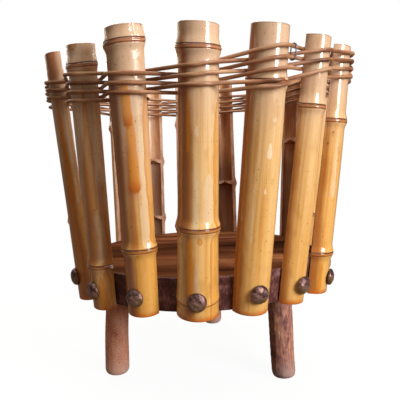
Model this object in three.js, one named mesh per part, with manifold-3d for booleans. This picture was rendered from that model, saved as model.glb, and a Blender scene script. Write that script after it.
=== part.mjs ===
// Bamboo tripod cachepot: seventeen split culms stand round a bevelled wooden disc, each held by
// one dome-headed nail. A rattan strand, spliced once, is woven in and out of them near the top,
// a wire ties two of its upper rounds together, and three stick legs are set into the disc.
// Millimetres, +Z up, floor at Z = 0, the front of the pot towards -Y.
import * as THREE from 'three';
import { mergeVertices } from 'three/addons/utils/BufferGeometryUtils.js';
import Module from 'manifold-3d';

const wasm = await Module();
wasm.setup();

const radians = THREE.MathUtils.degToRad;

// Driving dimensions
const CLEARANCE = 0.3;

const DISC_RADIUS = 112.6;
const DISC_THICKNESS = 29;
const DISC_UNDERSIDE = 83.2;
const DISC_EDGE = 1.2;

const LEG_DIAMETER = 23;
const LEG_SPLAY = radians(3);
const LEG_ROUNDING = 2.5;
const LEG_ROUND_HEIGHT = 6;
const SOCKET_ROOF = 10;
const SOCKET_WALL = 1;

const STAVE_LENGTH = 219;
const STAVE_LEAN = radians(6.7);
const STAVE_DROP = 0.7;
const CULM_WALL = 4;
const SAW_KERF = 1;
const NODE_SWELL = 1.6;
const NODE_SPAN = 7;
const SEPTUM = 2.4;
const SEPTUM_BORE = 0.6;

const NAIL_HEIGHT = 14.3;
const NAIL_HEAD = 15.4;
const NAIL_BRIM = 0.8;
const NAIL_DOME = 5;
const NAIL_SHANK = 2.5;
const NAIL_BITE = 11;
const NAIL_POINT = 4;

const STRAND = 2.5;
const STRAND_PITCH = 3.2;
const STRAND_CLEARANCE = 0.5;
const BAND_DROP = 44;
const WRAP = radians(35);

const WIRE = 1;
const WIRE_TURNS = 1.2;
const WIRE_DRIFT = 1.7;
const WIRE_START = 0.19;

// Facets round the disc, a leg, a culm, a nail and a strand, and steps round the wire's loop
const DISC_FACETS = 96;
const LEG_FACETS = 20;
const CULM_FACETS = 18;
const NAIL_FACETS = 10;
const STRAND_SIDES = 6;
const WIRE_STEPS = 18;
const MERGE_DISTANCE = 1e-4;
const POINTS_PAST_A_BEND = 20;

// The culms, counted to the right from the front one. azimuth: degrees from the front. lean and
// turn: degrees that it leans out beyond the common lean, and that it is turned to the right about
// its nail. foot and head: culm radius at its two ends. extra: length above the common one. slant:
// degrees that the top cut climbs to the right. nodes: distances of the joints from the foot.
const CULMS = [
  { azimuth: -1.5, lean: 0, turn: 2.2, foot: 17.2, head: 15.1, extra: 0.5, slant: -3, nodes: [72, 203] },
  { azimuth: 20.3, lean: 0.8, turn: 2.1, foot: 15.2, head: 15.2, extra: 0.5, slant: 0, nodes: [179] },
  { azimuth: 41.7, lean: 0.6, turn: 1.1, foot: 13.4, head: 12.8, extra: -2, slant: -1, nodes: [163] },
  { azimuth: 67.5, lean: -0.2, turn: 0.3, foot: 16, head: 13.7, extra: 5, slant: 1, nodes: [38, 159] },
  { azimuth: 85, lean: 0.6, turn: 0.2, foot: 14, head: 14, extra: -1, slant: 2, nodes: [118] },
  { azimuth: 102, lean: 0.4, turn: 1, foot: 14.5, head: 13.6, extra: 1, slant: 0, nodes: [60, 186] },
  { azimuth: 118.5, lean: -0.4, turn: 3.5, foot: 14, head: 14.2, extra: -2, slant: 3, nodes: [142] },
  { azimuth: 141, lean: -0.4, turn: 1.5, foot: 13.6, head: 14, extra: 0, slant: -3, nodes: [84] },
  { azimuth: 163, lean: -0.6, turn: 1.5, foot: 14.4, head: 13.6, extra: 2, slant: 0, nodes: [92] },
  { azimuth: 187, lean: -0.6, turn: -1.5, foot: 14, head: 14.4, extra: -1, slant: 2, nodes: [38, 168] },
  { azimuth: 210, lean: -1, turn: -3.7, foot: 14.6, head: 14.2, extra: 0, slant: 0, nodes: [51, 123] },
  { azimuth: 230, lean: -2, turn: -3.7, foot: 13.6, head: 13.6, extra: 1, slant: -2, nodes: [163] },
  { azimuth: 251.5, lean: -1.8, turn: -2, foot: 14, head: 13.6, extra: -2, slant: 0, nodes: [104] },
  { azimuth: 273.5, lean: -1.9, turn: 0, foot: 13.6, head: 13.8, extra: 0, slant: 2, nodes: [66, 190] },
  { azimuth: 296, lean: -1.6, turn: 0.9, foot: 12.9, head: 12, extra: 1.4, slant: 2, nodes: [] },
  { azimuth: 314.6, lean: -2.4, turn: 2.9, foot: 13.1, head: 15, extra: -1.6, slant: -1, nodes: [38, 201] },
  { azimuth: 335.8, lean: -0.7, turn: 2, foot: 13.5, head: 15.7, extra: 2.2, slant: 4, nodes: [55, 210] },
];

// By culm: how much wider it is at half its length, how much lower its foot hangs than the common
// drop, and how far its nail is above the common height
const BELLIES = [-0.6, 0.8, 0, 1.4, 0, 0, 0, 0, 0, 0, 0, 0, 0, 0, 0, 0, 0];
const DROPS = [0, 0, 0, 4, 0, 0, 0, 0, 0, 0, 0, 0, 0, 0, 1.4, 1.2, 0];
const RISES = [1.6, 3.6, 2, -4, 0, 1, -1, 0, 1, -1, 0, 2, 0, -5, 5, 1, 2];

// By culm: how far the woven band runs above its common height, how much wider than the common
// pitch its rounds lie there, and how far the spliced ends and what is below them sag
const LIFTS = [-2.5, 2.5, 11.6, 18.1, 17, 15, 13, 11, 9.5, 9, 9, 9, 8.5, 7.5, 6.2, 0.8, -1.4];
const FANS = [0, 0.8, 0.4, 0.1, 0, 0, 0, 0, 0, 0, 0, 0, 0, 0, 0, 0.1, 0.1];
const SAGS = [0, 3.8, 0, 0, 0, 0, 0, 0, 0, 0, 0, 0, 0, 0, 0, 0, 0];

// The strand runs to the left, past one culm after another, in passes that are numbered on and on
// from the culm where it is spliced. Even passes lie on the outer face. from and to: the first and
// last pass of each length. tail: whether it starts with a cut end on the outer face.
const STRANDS = [
  { name: 'rattan_strand_lower', from: -15, to: 17, tail: false },
  { name: 'rattan_strand_upper', from: 17, to: 103, tail: true },
];
const SPLICED_CULM = 1;
const TIE_PASS = 101;
const TIE_SHARE = 0.7;

const LEGS = [
  { name: 'leg_front_left', azimuth: -66.2 },
  { name: 'leg_front_right', azimuth: 53.4 },
  { name: 'leg_back', azimuth: 172.5 },
];

const bamboo = { color: 0xd2a05a, roughness: 0.35, metalness: 0 };
const rattan = { color: 0x966040, roughness: 0.45, metalness: 0 };
const bronze = { color: 0x5a4638, roughness: 0.4, metalness: 0.8 };
const steel = { color: 0x6c7888, roughness: 0.4, metalness: 0.9 };
const boardWood = { color: 0x4a2c22, roughness: 0.5, metalness: 0 };
const stickWood = { color: 0xa56950, roughness: 0.75, metalness: 0 };

// Sizes that follow from the driving ones
const UP = new THREE.Vector3(0, 0, 1);
const DISC_SLOPE = Math.tan(STAVE_LEAN);
const DISC_TOP = DISC_UNDERSIDE + DISC_THICKNESS;
const DISC_TOP_RADIUS = DISC_RADIUS + DISC_THICKNESS * DISC_SLOPE;
const NAIL_LEVEL = DISC_UNDERSIDE + NAIL_HEIGHT;
const LEG_RADIUS = LEG_DIAMETER / 2;
const LEG_CIRCLE = DISC_RADIUS - NAIL_BITE - SOCKET_WALL - LEG_RADIUS;
const LEG_LENGTH = (DISC_TOP - SOCKET_ROOF) / Math.cos(LEG_SPLAY);
const BAND_LEVEL = DISC_UNDERSIDE - STAVE_DROP + STAVE_LENGTH * Math.cos(STAVE_LEAN) - BAND_DROP;
const STRAND_RADIUS = STRAND / 2;
const FAR = 4 * (DISC_RADIUS + STAVE_LENGTH);

// The directions away from the pot's axis and to the right along its rim, at degrees from the front
const sideways = (azimuth) => new THREE.Vector3(1, 0, 0).applyAxisAngle(UP, radians(azimuth));
const outward = (azimuth) => sideways(azimuth - 90);

const lathe = (pairs, facets) =>
  new THREE.LatheGeometry(pairs.map(([radius, height]) => new THREE.Vector2(radius, height)), facets);

// A closed geometry, moved by a matrix, as a solid for cutting
function solid(geometry, matrix = new THREE.Matrix4()) {
  const bare = geometry.clone().applyMatrix4(matrix);
  bare.deleteAttribute('normal');
  bare.deleteAttribute('uv');
  const merged = mergeVertices(bare, MERGE_DISTANCE);
  const index = Array.from(merged.index.array);
  const corners = [];
  for (let i = 0; i < index.length; i += 3) {
    const [a, b, c] = index.slice(i, i + 3);
    if (a !== b && b !== c && c !== a) corners.push(a, b, c);
  }
  return new wasm.Manifold(new wasm.Mesh({
    numProp: 3,
    vertProperties: new Float32Array(merged.attributes.position.array),
    triVerts: new Uint32Array(corners),
  }));
}

function meshGeometry(positions, index) {
  const geometry = new THREE.BufferGeometry();
  geometry.setAttribute('position', new THREE.BufferAttribute(new Float32Array(positions), 3));
  geometry.setIndex(Array.from(index));
  geometry.computeVertexNormals();
  return geometry;
}

function geometryOf(manifold) {
  const mesh = manifold.getMesh();
  return meshGeometry(mesh.vertProperties, mesh.triVerts);
}

function piece(name, geometry, look) {
  const mesh = new THREE.Mesh(geometry, new THREE.MeshStandardMaterial(look));
  mesh.name = name;
  return mesh;
}

// The radius of a culm's skin at a distance from its foot, without and with its nodes
function culmRadius(culm, along) {
  const share = along / (STAVE_LENGTH + culm.extra);
  const belly = BELLIES[CULMS.indexOf(culm)];
  return THREE.MathUtils.lerp(culm.foot, culm.head, share) + 4 * belly * share * (1 - share);
}

const swell = (distance) =>
  NODE_SWELL * (1 + Math.cos(Math.PI * Math.min(1, Math.abs(distance) / NODE_SPAN))) / 2;

const skinRadius = (culm, along) =>
  culm.nodes.reduce((radius, node) => radius + swell(along - node), culmRadius(culm, along));

const leanOf = (culm) => STAVE_LEAN + radians(culm.lean);

// The distance from the pot's axis to a culm's sawn face at a height: its two sawn edges clear
// the round rim at the disc's underside and at its top
function sawnFace(culm, height) {
  const lip = culm.foot - CULM_WALL;
  const slope = Math.tan(leanOf(culm));
  const rimAt = (radius, level) => Math.sqrt(radius ** 2 - lip ** 2) + (height - level) * slope;
  const seat = Math.max(rimAt(DISC_RADIUS, DISC_UNDERSIDE), rimAt(DISC_TOP_RADIUS, DISC_TOP));
  return seat + CLEARANCE / Math.cos(leanOf(culm));
}

// Distances from a culm's foot to the common nail height, and to its own nail
const hang = (culm) => (NAIL_HEIGHT + STAVE_DROP + DROPS[CULMS.indexOf(culm)]) / Math.cos(leanOf(culm));
const nailAlong = (culm) => hang(culm) + RISES[CULMS.indexOf(culm)];

// A stave's own frame: X along the rim to the right, Y up the culm's axis, Z away from the pot
function staveMatrix(culm) {
  const out = outward(culm.azimuth);
  const right = sideways(culm.azimuth);
  const lean = leanOf(culm);
  const axis = out.clone().multiplyScalar(Math.sin(lean)).addScaledVector(UP, Math.cos(lean));
  const face = new THREE.Vector3().crossVectors(right, axis);
  const turn = -radians(culm.turn);
  right.applyAxisAngle(face, turn);
  axis.applyAxisAngle(face, turn);
  const start = out.multiplyScalar(sawnFace(culm, NAIL_LEVEL)).setZ(NAIL_LEVEL);
  start.addScaledVector(face, -SAW_KERF / 2).addScaledVector(axis, -hang(culm));
  return new THREE.Matrix4().makeBasis(right, axis, face).setPosition(start);
}

// A drill through the wall and on into the rim, in the stave's frame
function nailDrill(culm) {
  const radius = NAIL_SHANK / 2 + CLEARANCE;
  const reach = skinRadius(culm, nailAlong(culm)) + NAIL_DOME;
  const depth = NAIL_BITE + CLEARANCE;
  const drill = new THREE.CylinderGeometry(radius, radius, reach + depth, NAIL_FACETS);
  return drill.rotateX(Math.PI / 2).translate(0, nailAlong(culm), (reach - depth) / 2);
}

// Half of a culm: turned whole with its nodes and septa, then sawn, cut to length and drilled
function staveGeometry(culm) {
  const length = STAVE_LENGTH + culm.extra;
  const spare = length + culm.head;
  const places = [0, length / 3, 2 * length / 3, spare];
  const bore = [[culmRadius(culm, 0) - CULM_WALL, 0]];
  for (const node of culm.nodes) {
    places.push(...[-1, -0.5, 0, 0.5, 1].map((step) => node + step * NODE_SPAN));
    const inner = culmRadius(culm, node) - CULM_WALL;
    bore.push([inner, node - SEPTUM], [SEPTUM_BORE, node - SEPTUM / 2]);
    bore.push([SEPTUM_BORE, node + SEPTUM / 2], [inner, node + SEPTUM]);
  }
  bore.push([culmRadius(culm, spare) - CULM_WALL, spare]);
  const skin = places.sort((a, b) => a - b).map((along) => [skinRadius(culm, along), along]);
  const profile = [...skin, ...bore.reverse(), skin[0]];

  const block = new THREE.BoxGeometry(FAR, FAR, FAR);
  const inside = block.clone().translate(0, 0, SAW_KERF / 2 - FAR / 2);
  const above = block.translate(0, FAR / 2, 0).rotateZ(radians(culm.slant)).translate(0, length, 0);
  const half = solid(lathe(profile, CULM_FACETS)).subtract(solid(inside));
  return geometryOf(half.subtract(solid(above)).subtract(solid(nailDrill(culm))));
}

// A dome-headed nail, its head a clearance off the skin and its point in the rim
function nailGeometry(culm) {
  const rim = NAIL_HEAD / 2;
  const shank = NAIL_SHANK / 2;
  const seat = skinRadius(culm, nailAlong(culm)) + CLEARANCE;
  const tip = SAW_KERF / 2 - seat - NAIL_BITE;
  const profile = [[0, tip], [shank, tip + NAIL_POINT], [shank, 0], [rim - NAIL_BRIM, 0]];
  for (const angle of [0, 30, 60].map(radians)) {
    profile.push([rim * Math.cos(angle), NAIL_BRIM + (NAIL_DOME - NAIL_BRIM) * Math.sin(angle)]);
  }
  profile.push([0, NAIL_DOME]);
  return lathe(profile, NAIL_FACETS).rotateX(Math.PI / 2).translate(0, nailAlong(culm), seat);
}

// A leg's own frame: Y up the stick, from the middle of its foot
function legMatrix(leg) {
  const out = outward(leg.azimuth);
  const right = sideways(leg.azimuth);
  const axis = out.clone().multiplyScalar(-Math.sin(LEG_SPLAY)).addScaledVector(UP, Math.cos(LEG_SPLAY));
  const foot = out.multiplyScalar(LEG_CIRCLE + DISC_UNDERSIDE * Math.tan(LEG_SPLAY));
  const face = new THREE.Vector3().crossVectors(right, axis);
  return new THREE.Matrix4().makeBasis(right, axis, face).setPosition(foot);
}

// A round stick, its foot rounded off and cut level with the floor
function legGeometry(leg) {
  const foot = LEG_RADIUS - LEG_ROUNDING;
  const below = -LEG_DIAMETER * Math.tan(LEG_SPLAY);
  const end = LEG_LENGTH - CLEARANCE;
  const profile = [[0, below], [foot, below]];
  for (const angle of [0, 30, 60, 90].map(radians)) {
    profile.push([foot + LEG_ROUNDING * Math.sin(angle), LEG_ROUND_HEIGHT * (1 - Math.cos(angle))]);
  }
  const stick = lathe([...profile, [LEG_RADIUS, end], [0, end]], LEG_FACETS);
  const ground = new THREE.BoxGeometry(FAR, FAR, FAR).translate(0, 0, -FAR / 2);
  return geometryOf(solid(stick, legMatrix(leg)).subtract(solid(ground)));
}

// The board, bevelled to the lean of the staves, with sockets for the legs and holes for the nails
function discGeometry() {
  const bevel = DISC_EDGE * DISC_SLOPE;
  let board = solid(lathe([
    [0, DISC_UNDERSIDE], [DISC_RADIUS - DISC_EDGE, DISC_UNDERSIDE],
    [DISC_RADIUS + bevel, DISC_UNDERSIDE + DISC_EDGE], [DISC_TOP_RADIUS - bevel, DISC_TOP - DISC_EDGE],
    [DISC_TOP_RADIUS - DISC_EDGE, DISC_TOP], [0, DISC_TOP],
  ], DISC_FACETS).rotateX(Math.PI / 2));
  const bore = LEG_RADIUS + CLEARANCE;
  const socket = new THREE.CylinderGeometry(bore, bore, LEG_LENGTH, LEG_FACETS);
  socket.translate(0, LEG_LENGTH / 2, 0);
  for (const leg of LEGS) {
    board = board.subtract(solid(socket, legMatrix(leg)));
  }
  for (const culm of CULMS) {
    board = board.subtract(solid(nailDrill(culm), staveMatrix(culm)));
  }
  return geometryOf(board);
}

const culmIndex = (place) => THREE.MathUtils.euclideanModulo(place, CULMS.length);
const culmAt = (place) => CULMS[culmIndex(place)];

// The height of the strand after a number of passes, at a place counted in culms
function strandHeight(place, pass) {
  const before = Math.floor(place);
  const between = (values) =>
    THREE.MathUtils.lerp(values[culmIndex(before)], values[culmIndex(before + 1)], place - before);
  const round = pass / CULMS.length;
  const sag = between(SAGS) * THREE.MathUtils.clamp(2 - round, 0, 1);
  return BAND_LEVEL + between(LIFTS) + (STRAND_PITCH + between(FANS)) * round - sag;
}

// A point of the strand beside a culm: across is to the right of it, off is away from its sawn face
function passPoint(pass, across, off) {
  const place = SPLICED_CULM - pass;
  const culm = culmAt(place);
  const neighbour = culmAt(place + (Math.sign(across) || 1));
  const spacing = outward(culm.azimuth).angleTo(outward(neighbour.azimuth));
  const share = across / (spacing * sawnFace(culm, BAND_LEVEL));
  const height = strandHeight(place + share, pass - share);
  const shift = (height - NAIL_LEVEL) * Math.tan(radians(culm.turn));
  const point = outward(culm.azimuth).multiplyScalar(sawnFace(culm, height) + off);
  return point.addScaledVector(sideways(culm.azimuth), across + shift).setZ(height);
}

// The widest that a culm's skin gets beside a strand that crosses it
function widestSkin(pass) {
  const culm = culmAt(SPLICED_CULM - pass);
  const along = hang(culm) + (passPoint(pass, 0, 0).z - NAIL_LEVEL) / Math.cos(leanOf(culm));
  return Math.max(...[-4, -2, 0, 2, 4].map((step) => skinRadius(culm, along + step * STRAND_RADIUS)));
}

// One pass round the outer face of a culm, from its right to its left
function outerPass(pass, shares) {
  const radius = widestSkin(pass) + STRAND_RADIUS + STRAND_CLEARANCE;
  return shares.map((share) =>
    passPoint(pass, radius * Math.sin(share * WRAP), radius * Math.cos(share * WRAP) - SAW_KERF / 2));
}

// One pass straight along behind the sawn face of a culm
function innerPass(pass) {
  const half = culmAt(SPLICED_CULM - pass).head;
  return [half, 0, -half].map((across) => passPoint(pass, across, -STRAND_RADIUS - STRAND_CLEARANCE));
}

const passPoints = (pass) => (pass % 2 === 0 ? outerPass(pass, [1, 0.5, 0, -0.5, -1]) : innerPass(pass));

function strandPoints(length) {
  const points = length.tail ? outerPass(length.from, [0.5, 0, -0.5, -1]) : passPoints(length.from);
  for (let pass = length.from + 1; pass <= length.to; pass += 1) {
    points.push(...passPoints(pass));
  }
  return points;
}

// A closed tube with one ring at each point, square to the way the points run and turned to a
// direction that they never run along
function tube(points, radius, turned) {
  const positions = [];
  points.forEach((point, i) => {
    const run = points[Math.min(points.length - 1, i + 1)].clone().sub(points[Math.max(0, i - 1)]);
    const side = new THREE.Vector3().crossVectors(run, turned).normalize();
    const rise = new THREE.Vector3().crossVectors(side, run).normalize();
    for (let k = 0; k < STRAND_SIDES; k += 1) {
      const angle = 2 * Math.PI * (k + 0.5) / STRAND_SIDES;
      const corner = point.clone().addScaledVector(side, radius * Math.cos(angle));
      positions.push(...corner.addScaledVector(rise, radius * Math.sin(angle)).toArray());
    }
  });
  const corner = (i, k) => i * STRAND_SIDES + k % STRAND_SIDES;
  const last = points.length - 1;
  const index = [];
  for (let k = 0; k < STRAND_SIDES; k += 1) {
    for (let i = 0; i < last; i += 1) {
      index.push(corner(i, k), corner(i + 1, k + 1), corner(i, k + 1));
      index.push(corner(i, k), corner(i + 1, k), corner(i + 1, k + 1));
    }
    if (k > 0 && k + 1 < STRAND_SIDES) {
      index.push(corner(0, 0), corner(0, k), corner(0, k + 1));
      index.push(corner(last, 0), corner(last, k + 1), corner(last, k));
    }
  }
  return meshGeometry(positions, index);
}

// The wire's loop round two upper rounds of the strand, between two culms
function wireGeometry() {
  const tiedAt = (pass) => passPoints(pass).at(-1).lerp(passPoints(pass + 1)[0], TIE_SHARE);
  const high = tiedAt(TIE_PASS);
  const low = tiedAt(TIE_PASS - 2 * CULMS.length);
  const run = passPoints(TIE_PASS + 1)[0].sub(high).setZ(0).normalize();
  const side = new THREE.Vector3().crossVectors(run, UP);
  const bend = STRAND_RADIUS + CLEARANCE + WIRE / 2;
  const points = [];
  for (let i = 0; i <= WIRE_STEPS * WIRE_TURNS; i += 1) {
    const angle = 2 * Math.PI * (i / WIRE_STEPS - WIRE_START);
    const point = (Math.sin(angle) > 0 ? high : low).clone();
    point.addScaledVector(side, bend * Math.cos(angle)).addScaledVector(UP, bend * Math.sin(angle));
    points.push(point.addScaledVector(run, WIRE_DRIFT * (i / WIRE_STEPS - WIRE_TURNS / 2)));
  }
  return tube(points, WIRE / 2, run);
}

// Points no more than a step apart along a route, and the least gap between two such rows of them
function spread(points, step) {
  return points.slice(1).flatMap((point, i) => {
    const count = Math.ceil(point.distanceTo(points[i]) / step);
    return Array.from({ length: count }, (_, k) => points[i].clone().lerp(point, k / count));
  });
}

function leastGap(one, other, skipped) {
  let least = Infinity;
  one.forEach((point, i) => {
    for (let j = skipped > 0 ? i + skipped : 0; j < other.length; j += 1) {
      least = Math.min(least, point.distanceTo(other[j]));
    }
  });
  return `${(least - STRAND).toFixed(2)} mm`;
}

const pot = new THREE.Group();
pot.add(piece('base_disc', discGeometry(), boardWood));
for (const leg of LEGS) {
  pot.add(piece(leg.name, legGeometry(leg), stickWood));
}
CULMS.forEach((culm, i) => {
  const number = String(i + 1).padStart(2, '0');
  const stave = new THREE.Group();
  stave.add(piece(`bamboo_stave_${number}`, staveGeometry(culm), bamboo));
  stave.add(piece(`dome_nail_${number}`, nailGeometry(culm), bronze));
  staveMatrix(culm).decompose(stave.position, stave.quaternion, stave.scale);
  pot.add(stave);
});
const routes = STRANDS.map(strandPoints);
STRANDS.forEach((length, i) => pot.add(piece(length.name, tube(routes[i], STRAND_RADIUS, UP), rattan)));
pot.add(piece('tie_wire', wireGeometry(), steel));

// The pot leans a little to one side, so it is moved until its middle stands over the origin
const middle = new THREE.Box3().setFromObject(pot, true).getCenter(new THREE.Vector3());
pot.position.set(-middle.x, -middle.y, 0);

const [lower, upper] = routes.map((points) => spread(points, STRAND_RADIUS));
console.log('lower strand, least gap to itself', leastGap(lower, lower, POINTS_PAST_A_BEND));
console.log('upper strand, least gap to itself', leastGap(upper, upper, POINTS_PAST_A_BEND));
console.log('between the two lengths, least gap', leastGap(lower, upper, 0));

export default pot;
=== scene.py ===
import functools
import math
from collections import namedtuple

import bpy
import numpy as np
from mathutils import Matrix, Vector


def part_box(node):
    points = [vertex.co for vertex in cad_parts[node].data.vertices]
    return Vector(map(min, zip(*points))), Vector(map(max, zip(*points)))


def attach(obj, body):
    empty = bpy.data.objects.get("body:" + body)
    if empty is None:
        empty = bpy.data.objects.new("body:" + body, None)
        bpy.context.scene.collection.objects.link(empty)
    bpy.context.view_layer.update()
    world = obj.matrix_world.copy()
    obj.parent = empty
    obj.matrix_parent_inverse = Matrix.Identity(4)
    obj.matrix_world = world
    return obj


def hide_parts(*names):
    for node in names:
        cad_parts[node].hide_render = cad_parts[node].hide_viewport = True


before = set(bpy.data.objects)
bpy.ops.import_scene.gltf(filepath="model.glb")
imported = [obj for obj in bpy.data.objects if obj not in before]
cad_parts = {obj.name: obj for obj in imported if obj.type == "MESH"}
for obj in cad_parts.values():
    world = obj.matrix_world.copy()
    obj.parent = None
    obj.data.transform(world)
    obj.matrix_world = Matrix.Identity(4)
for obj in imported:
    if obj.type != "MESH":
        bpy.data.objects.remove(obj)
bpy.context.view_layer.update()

# Lengths are millimetres, and make_piece turns them into metres. The front is towards -Y.
MM = 0.001
UP = Vector((0, 0, 1))

low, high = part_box("base_disc")
AXIS = Vector(((low.x + high.x) / 2 / MM, (low.y + high.y) / 2 / MM, 0))
DISC_UNDERSIDE = low.z / MM
DISC_TOP = high.z / MM

# Sizes of the construction
CLEARANCE = 0.3
DISC_RADIUS = 112.6
DISC_EDGE = 1.2
LEG_RADIUS = 11.5
LEG_SPLAY = math.radians(3)
SOCKET_ROOF = 10
SOCKET_WALL = 1
STAVE_LENGTH = 219
STAVE_LEAN = math.radians(6.7)
STAVE_DROP = 0.7
CULM_WALL = 4
SAW_KERF = 1
NAIL_HEIGHT = 14.3
NAIL_HEAD = 7.7
NAIL_BRIM = 0.8
NAIL_DOME = 5
NAIL_SHANK = 1.25
NAIL_BITE = 11
NAIL_POINT = 4
STRAND_RADIUS = 1.5
STRAND_PITCH = 3.2
STRAND_CLEARANCE = 0.35
BAND_DROP = 44
WRAP = math.radians(35)
WIRE_RADIUS = 0.5
WIRE_GAP = 0.1
WIRE_TURNS = 1.2
WIRE_DRIFT = 1.7
WIRE_START = 0.19
TIE_PASS = 101
TIE_SHARE = 0.7

# Places that follow from them
LEG_CIRCLE = DISC_RADIUS - NAIL_BITE - SOCKET_WALL - LEG_RADIUS
NAIL_LEVEL = DISC_UNDERSIDE + NAIL_HEIGHT
BAND_LEVEL = DISC_UNDERSIDE - STAVE_DROP + STAVE_LENGTH * math.cos(STAVE_LEAN) - BAND_DROP

# azimuth: degrees from the front. lean, turn: degrees beyond the common lean, and turned to the
# right about the nail. foot, head: radius at the ends. belly: how much wider half way. extra:
# length above the common one. drop: how much lower the foot hangs. rise: the nail above the common
# height. slant: degrees that the top cut climbs to the right. nodes, tilt: heights of the joints,
# and degrees that they climb to the right. lift, fan, sag: how the woven band runs there.
Culm = namedtuple(
    "Culm",
    "azimuth lean turn foot head belly extra drop rise slant nodes tilt lift fan sag",
    defaults=(0, 0),
)
CULMS = [
    Culm(-1.5, 0, 2.2, 17.2, 15.1, -0.6, 0.5, 0, 1.6, -3, (72, 203), 0, -2.5),
    Culm(20.3, 0.8, 2.1, 15.2, 15.2, 0.8, 0.5, 0, 3.6, 0, (179,), 0, 2.5, 0.8, 3.8),
    Culm(41.7, 0.6, 1.1, 13.4, 12.8, 0, -2, 0, 2, -1, (163,), -4, 11.6, 0.4),
    Culm(67.5, -0.2, 0.3, 16, 13.7, 1.4, 5, 4, -4, 1, (38, 159), 0, 18.1, 0.1),
    Culm(85, 0.6, 0.2, 14, 14, 0, -1, 0, 0, 2, (118,), 2, 17),
    Culm(102, 0.4, 1, 14.5, 13.6, 0, 1, 0, 1, 0, (60, 186), 0, 15),
    Culm(118.5, -0.4, 3.5, 14, 14.2, 0, -2, 0, -1, 3, (142,), -3, 13),
    Culm(141, -0.4, 1.5, 13.6, 14, 0, 0, 0, 0, -3, (84,), 1, 11),
    Culm(163, -0.6, 1.5, 14.4, 13.6, 0, 2, 0, 1, 0, (92,), 2, 9.5),
    Culm(187, -0.6, -1.5, 14, 14.4, 0, -1, 0, -1, 2, (38, 168), 0, 9),
    Culm(210, -1, -3.7, 14.6, 14.2, 0, 0, 0, 0, 0, (51, 123), -2, 9),
    Culm(230, -2, -3.7, 13.6, 13.6, 0, 1, 0, 2, -2, (163,), 2, 9),
    Culm(251.5, -1.8, -2, 14, 13.6, 0, -2, 0, 0, 0, (104,), 0, 8.5),
    Culm(273.5, -1.9, 0, 13.6, 13.8, 0, 0, 0, -5, 2, (66, 190), 3, 7.5),
    Culm(296, -1.6, 0.9, 12.9, 12, 0, 1.4, 1.4, 5, 2, (), 0, 6.2),
    Culm(314.6, -2.4, 2.9, 13.1, 15, 0, -1.6, 1.2, 1, -1, (38, 201), 4, 0.8, 0.1),
    Culm(335.8, -0.7, 2, 13.5, 15.7, 0, 2.2, 0, 2, 4, (55, 210), 2, -1.4, 0.1),
]

# Marks by culm number. angle: degrees to the right of its middle. top, bottom: heights above the
# foot. point: how late it narrows to its top. pool: how thick the varnish lies at the lower end.
# A culm that isn't listed gets spare patches instead, apart from chips.
Patch = namedtuple("Patch", "angle width top bottom point pool", defaults=(2, 0))
# Soft brown stains. On culms 1 to 4 they lie on the left sides, away from the window lamp, and are partly
# painted shade there.
STAINS_AND_SHADE = {
    1: [Patch(-46, 17, 215, 70, 5), Patch(-22, 9, 74, -6, 6)],
    2: [Patch(-78, 11, 230, -6, 12)],
    3: [Patch(-80, 8, 160, -6)],
    4: [Patch(-80, 12, 160, -6)],
    15: [Patch(46, 13, 190, -6), Patch(0, 14, 130, -6), Patch(40, 12, 230, 196, 8)],
    16: [Patch(20, 12, 150, 40), Patch(-10, 12, 100, -6), Patch(72, 9, 120, 36)],
    17: [Patch(-36, 18, 215, 56, 6), Patch(14, 7, 150, 57, 6), Patch(-24, 16, 54, -6, 20)],
}
VARNISH_RUNS = {
    1: [Patch(-30, 3, 190, 130), Patch(-22, 6, 71, 14, 8, 0.4)],
    2: [],
    3: [],
    4: [Patch(-50, 4, 34, 4)],
    15: [Patch(52, 6, 190, 90, 2, 0.4)],
    16: [Patch(92, 3, 190, 120), Patch(40, 10, 33, 2)],
    17: [Patch(20, 7, 182, 150, 8, 1), Patch(28, 8, 176, 101, 3, 1)],
}
GLAZES = {
    1: [Patch(5, 5, 67, 61, 8), Patch(72, 13, 170, 72, 6), Patch(62, 16, 71, -6, 12)],
    2: [],
    3: [],
    4: [],
    16: [Patch(60, 8, 37, -6, 8), Patch(20, 8, 226, 212, 12), Patch(38, 9, 186, 86, 3)],
    17: [Patch(56, 25, 55, -6, 30), Patch(84, 10, 182, 60, 8)],
}
BARE_PATCHES = {
    1: [
        Patch(33, 9, 115, 76, 10),
        Patch(-5, 5, 128, 74),
        Patch(-3, 3.5, 149, 141, 6),
        Patch(44, 1.5, 151, 140, 6),
        Patch(-54, 7, 69, 14, 6),
        Patch(-3, 5, 50, 16),
    ],
    2: [Patch(-38, 1.5, 150, 60)],
    3: [Patch(34, 4, 150, 90)],
    4: [Patch(-40, 5, 152, 90)],
    15: [Patch(75, 3, 200, 90)],
    16: [Patch(70, 5, 186, 110), Patch(46, 10, 84, 42, 10), Patch(8, 5, 190, 160)],
    17: [Patch(56, 7, 186, 57), Patch(-8, 5, 50, 20, 8)],
}
CHIPS = {2: [Patch(-2, 4.4, 137, 124, 3), Patch(6, 3.4, 155, 151, 8), Patch(-7, 2, 105, 97)]}

# By culm number: heights of faint joint lines, and how much darker it is
SCARS = {1: [13]}
# Culm 4 is toned darker partly as painted shade, offsetting the window lamp that faces it.
TONES = {2: 0.06, 3: 0.05, 4: 0.14, 11: -0.15, 15: 0.2, 16: -0.06, 17: 0.05}

# Culms with rippled varnish near the head, where the painted reflection that makes the head paler also
# reaches further down, and how far down it reaches
WORN_AND_SHEEN_HEADS = (15, 16, 17)
WORN_AND_SHEEN_REACH = 60.0

# Dark buds by culm number: height, degrees to the right of its middle, and how far they stand out
BUDS = {
    3: [(150, 74, 0.6)],
    4: [(148, -62, 0.1), (138, -76, 0.1)],
    8: [(82, -40, 1.5)],
    13: [(102, 30, 1.5)],
    16: [(37, 80, 4.5)],
}

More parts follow.
